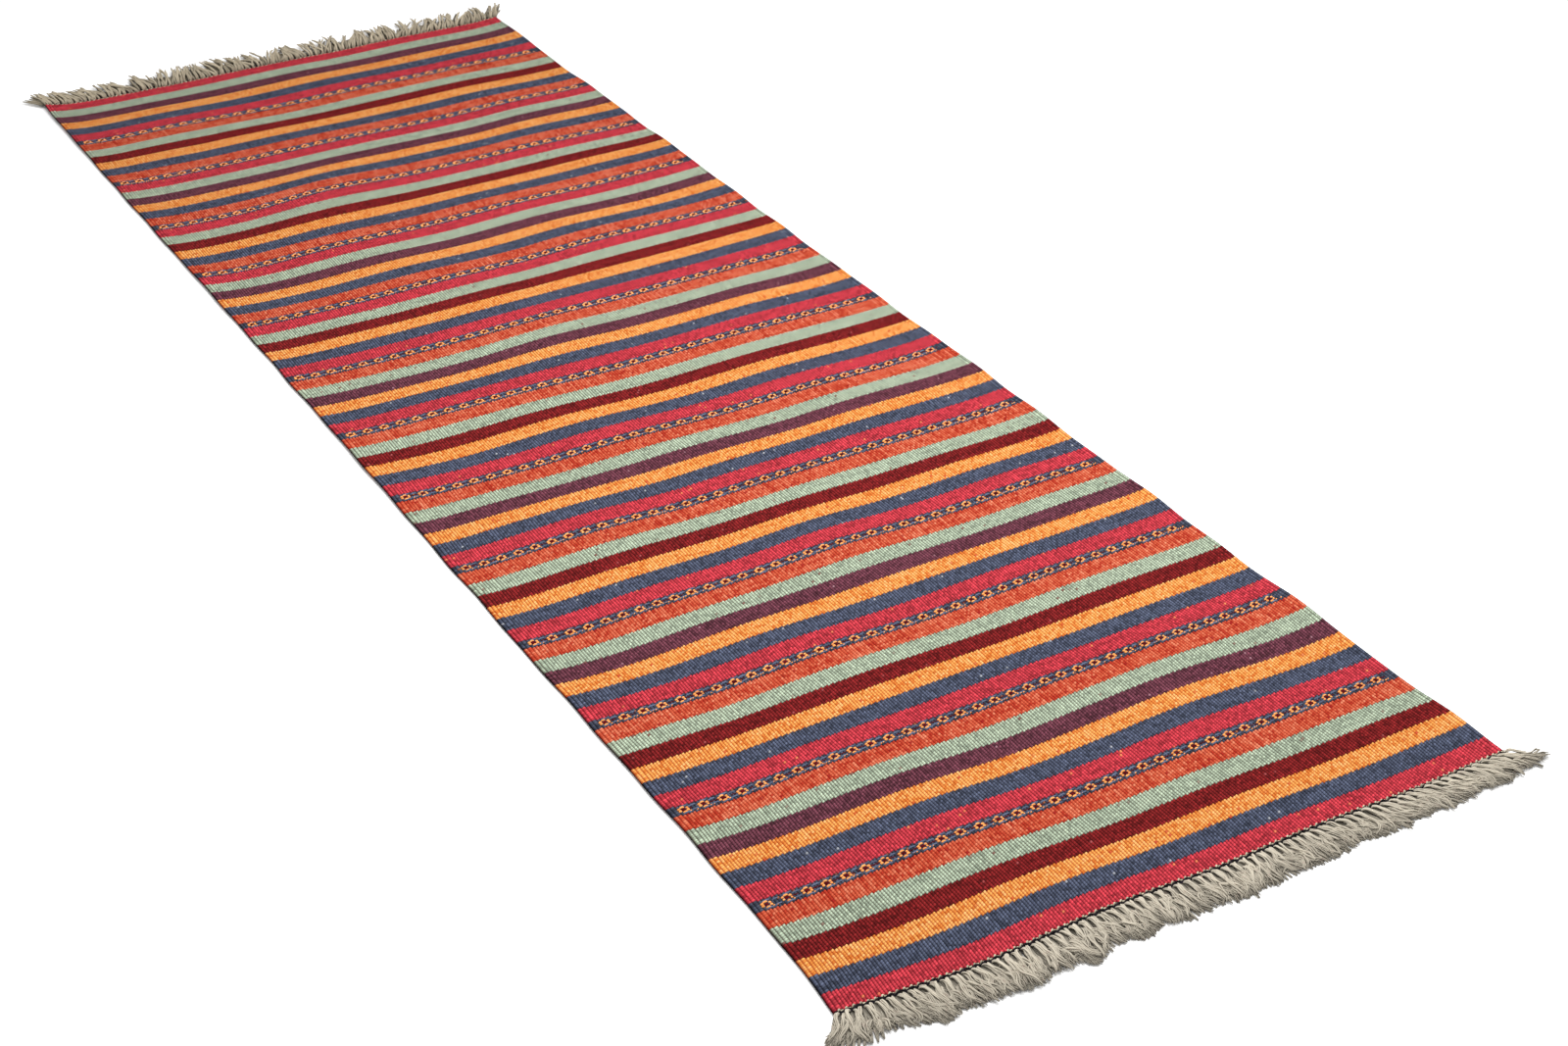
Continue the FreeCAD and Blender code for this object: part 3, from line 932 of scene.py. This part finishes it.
def near_locks(centres, draw):
    """Soft locks of fine strands that end raggedly."""
    steps = 14
    s = np.linspace(0, 1, steps)
    x, root_x, out, lean, length, height = near_tuft(centres, NEAR_LOCKS, 5.4, (9, 24), 2.2, draw)
    n = len(x)
    path = strand_path(-1, steps, draw, root_x, out, 1.4 + 2.6 * height, lean + draw.normal(0, 14, n),
                       8 * tuft_wave(x, 50) + draw.normal(0, 26, n), length, 1.2 + 1.8 * height,
                       0.8 + 1.6 * height, draw.uniform(8, 26, n))
    spread = 1.1 + 1.7 * np.sin(math.pi * (0.1 + 0.75 * s))
    path, depth = bundle(path, spread, NEAR_LOCK_STRANDS, 1.5, draw)
    path = shortened(path, draw.uniform(0.72, 1.0, len(path)))
    radius = draw.uniform(0.5, 0.85, (len(path), 1)) * (1 - 0.35 * s ** 4)
    height = np.repeat(height, NEAR_LOCK_STRANDS)
    # Painted light and shade: higher locks are painted lighter, lower and inner strands and the tips
    # darker
    return laid_tubes(path, radius, 5, tone=0.58 + 0.14 * height + draw.normal(0, 0.1, len(path)),
                      groove=0.15 + 0.45 * depth + 0.4 * (1 - height)[:, None] + 0.25 * s ** 4)


def near_fibres(centres, draw):
    steps = 6
    s = np.linspace(0, 1, steps)
    x, root_x, out, lean, length, height = near_tuft(centres, NEAR_FIBRES, 6, (10, 38), 3.0, draw)
    n = len(x)
    path = strand_path(-1, steps, draw, root_x, out, 3.0 + 2.4 * height, lean + draw.normal(0, 18, n),
                       draw.normal(0, 26, n), length.clip(6, 16), 1.6 + 2.0 * height,
                       0.8 + 1.2 * height, draw.uniform(4, 18, n))
    radius = draw.uniform(0.22, 0.42, (n, 1)) * (1 - 0.5 * s)
    # Painted light and shade: higher fibres are painted lighter, lower ones darker
    return laid_tubes(path, radius, 3, tone=0.5 + 0.1 * height + draw.normal(0, 0.06, n),
                      groove=(1 - height)[:, None] * 0.8 + 0.15 * s)


def far_locks(centres, draw):
    """Locks of a few strands that lie beside and across each other. One in each bunch lies low."""
    steps = 14
    s = np.linspace(0, 1, steps)
    bunches = len(centres)
    offset = np.tile([-1.2, -0.4, 0.4, 1.2], bunches)
    low = np.tile([False, True, False, False], bunches)
    x = np.repeat(centres, FAR_LOCKS) + offset * RIB_PITCH
    n = len(x)
    x = x + draw.normal(0, 0.5, n)
    strays = (draw.random(n) < 0.03) & ~low
    together = np.repeat(draw.normal(0, 7, bunches), FAR_LOCKS)
    lean = far_lean(x) + together - 3 * offset + draw.normal(0, 3, n)
    lean = lean + strays * draw.choice([-1, 1], n) * draw.uniform(20, 40, n)
    length = FAR_REACH + LENGTH_WAVE * length_wave(x, 700)
    length = length + np.repeat(draw.normal(0, 2.5, bunches), FAR_LOCKS)
    length = length + draw.normal(0, 1.5, n) - 4 * strays - 4 * low
    flat = 1 - 0.6 * fade(x + HALF_WIDTH, 60)
    bend = np.repeat(draw.normal(0, 13, bunches), FAR_LOCKS) + draw.normal(0, 5, n)
    path = strand_path(1, steps, draw, x, FAR_ROOT, 3.2 - 1.2 * low, lean, bend, length,
                       flat * draw.uniform(0.8, 4.0, n) * ~low + 1.6,
                       flat * draw.uniform(3.5, 7.0, n) * ~low, draw.uniform(1, 5, n))
    spread = 1.5 * (0.6 + 0.4 * np.clip(s * 6, 0, 1)) * (1 - 0.4 * s ** 3)
    path, depth = bundle(path, spread, FAR_LOCK_STRANDS, 7.0, draw)
    path = shortened(path, draw.uniform(0.9, 1.0, len(path)))
    radius = draw.uniform(0.95, 1.2, (len(path), 1)) * (1 - 0.5 * s ** 6)
    # Painted shade: heaviest on the low lock of each bunch, with a random share for each lock, darker at
    # the root and inside the lock
    shaded = np.repeat(0.5 * low + 0.25 * draw.random(n), FAR_LOCK_STRANDS)[:, None]
    tone = np.repeat(0.62 - 0.15 * low + draw.normal(0, 0.12, n), FAR_LOCK_STRANDS)
    return laid_tubes(path, radius, 5, tone=tone + draw.normal(0, 0.05, len(path)),
                      groove=0.4 * np.exp(-s * 9) + 0.35 * depth + shaded)


def far_fibres(centres, draw):
    steps = 6
    n = FAR_FIBRES * len(centres)
    x = np.repeat(centres, FAR_FIBRES) + draw.uniform(-6, 6, n)
    start = draw.uniform(20, 46, n)
    lean = far_lean(x)
    path = strand_path(1, steps, draw, x + np.sin(np.radians(lean)) * start,
                       FAR_ROOT + start * np.cos(np.radians(lean)), draw.uniform(1.5, 5.0, n),
                       lean + draw.normal(0, 18, n), draw.normal(0, 25, n), draw.uniform(8, 14, n),
                       draw.uniform(0.6, 3, n), draw.uniform(0.5, 1.5, n), draw.uniform(4, 18, n))
    radius = draw.uniform(0.18, 0.28, (n, 1)) * (1 - 0.6 * np.linspace(0, 1, steps))
    return laid_tubes(path, radius, 3, tone=0.55 + draw.normal(0, 0.08, n))


def make_fringes():
    """Near bunches are loops that open into a soft mass, in four pieces, and far ones are locks."""
    centres = bunch_centres()
    places = ("left", "middle_left", "middle_right", "right")
    near = []
    for number, part in enumerate(np.array_split(centres, len(places))):
        draw = np.random.default_rng(700 + number)
        sets = [underside_strands(part, NEAR_ROOT, near_lean, NEAR_REACH, -1, draw),
                near_leg(part, -1, draw), near_leg(part, 1, draw), near_locks(part, draw),
                near_fibres(part, draw)]
        near.append(join_tubes("near_fringe_" + places[number], sets, FRINGE,
                               "near_fringe_bunches"))
    draw = np.random.default_rng(720)
    sets = [underside_strands(centres, FAR_ROOT + 3, far_lean, UNDERSIDE_REACH, 1, draw),
            far_locks(centres, draw), far_fibres(centres, draw)]
    far = join_tubes("far_fringe", sets, FAR_FRINGE, "far_fringe_bunches")
    return {"near": near, "far": [far]}


# -------------------- the rug
bands = make_bands()
rosettes = make_rosettes()
make_warps()
twining = make_twining()
fringes = make_fringes()


# -------------------- floor, light, camera
def make_floor():
    half = 40.0
    mesh = bpy.data.meshes.new("floor")
    mesh.from_pydata([(-half, -half, 0), (half, -half, 0), (half, half, 0), (-half, half, 0)], [],
                     [(0, 1, 2, 3)])
    floor = bpy.data.objects.new("floor", mesh)
    bpy.context.scene.collection.objects.link(floor)
    n = Nodes("pale_floor")
    pale = n.ramp(n.noise(6.0), [(0.3, (0.95, 0.95, 0.95, 1)), (0.7, (0.97, 0.97, 0.97, 1))])
    mesh.materials.append(n.surface(pale, 0.7, 0.2))


def make_light():
    world = bpy.data.worlds.new("studio")
    world.use_nodes = True
    background = world.node_tree.nodes["Background"]
    background.inputs["Color"].default_value = (1, 1, 1, 1)
    background.inputs["Strength"].default_value = 0.76
    bpy.context.scene.world = world
    lamp = bpy.data.lights.new("soft_box", "AREA")
    lamp.shape = "DISK"
    lamp.size = 2.3
    lamp.energy = 62.0
    light = bpy.data.objects.new("soft_box", lamp)
    light.location = (0.35, -0.34, 1.85)
    aim = Vector((0.0, -0.32, 0.0)) - light.location
    light.rotation_mode = "QUATERNION"
    light.rotation_quaternion = aim.to_track_quat("-Z", "Y")
    bpy.context.scene.collection.objects.link(light)


def make_camera():
    camera = bpy.data.objects.new("camera", bpy.data.cameras.new("camera"))
    camera.data.lens = 60.0
    camera.data.sensor_width = 36.0
    camera.location = (-1.3641, -2.7242, 1.6549)
    aim = Vector((-0.0158, -0.4521, 0.003)) - camera.location
    camera.rotation_mode = "QUATERNION"
    camera.rotation_quaternion = aim.to_track_quat("-Z", "Y")
    bpy.context.scene.collection.objects.link(camera)
    bpy.context.scene.camera = camera


make_floor()
make_light()
make_camera()
bpy.context.scene.view_settings.view_transform = "Standard"
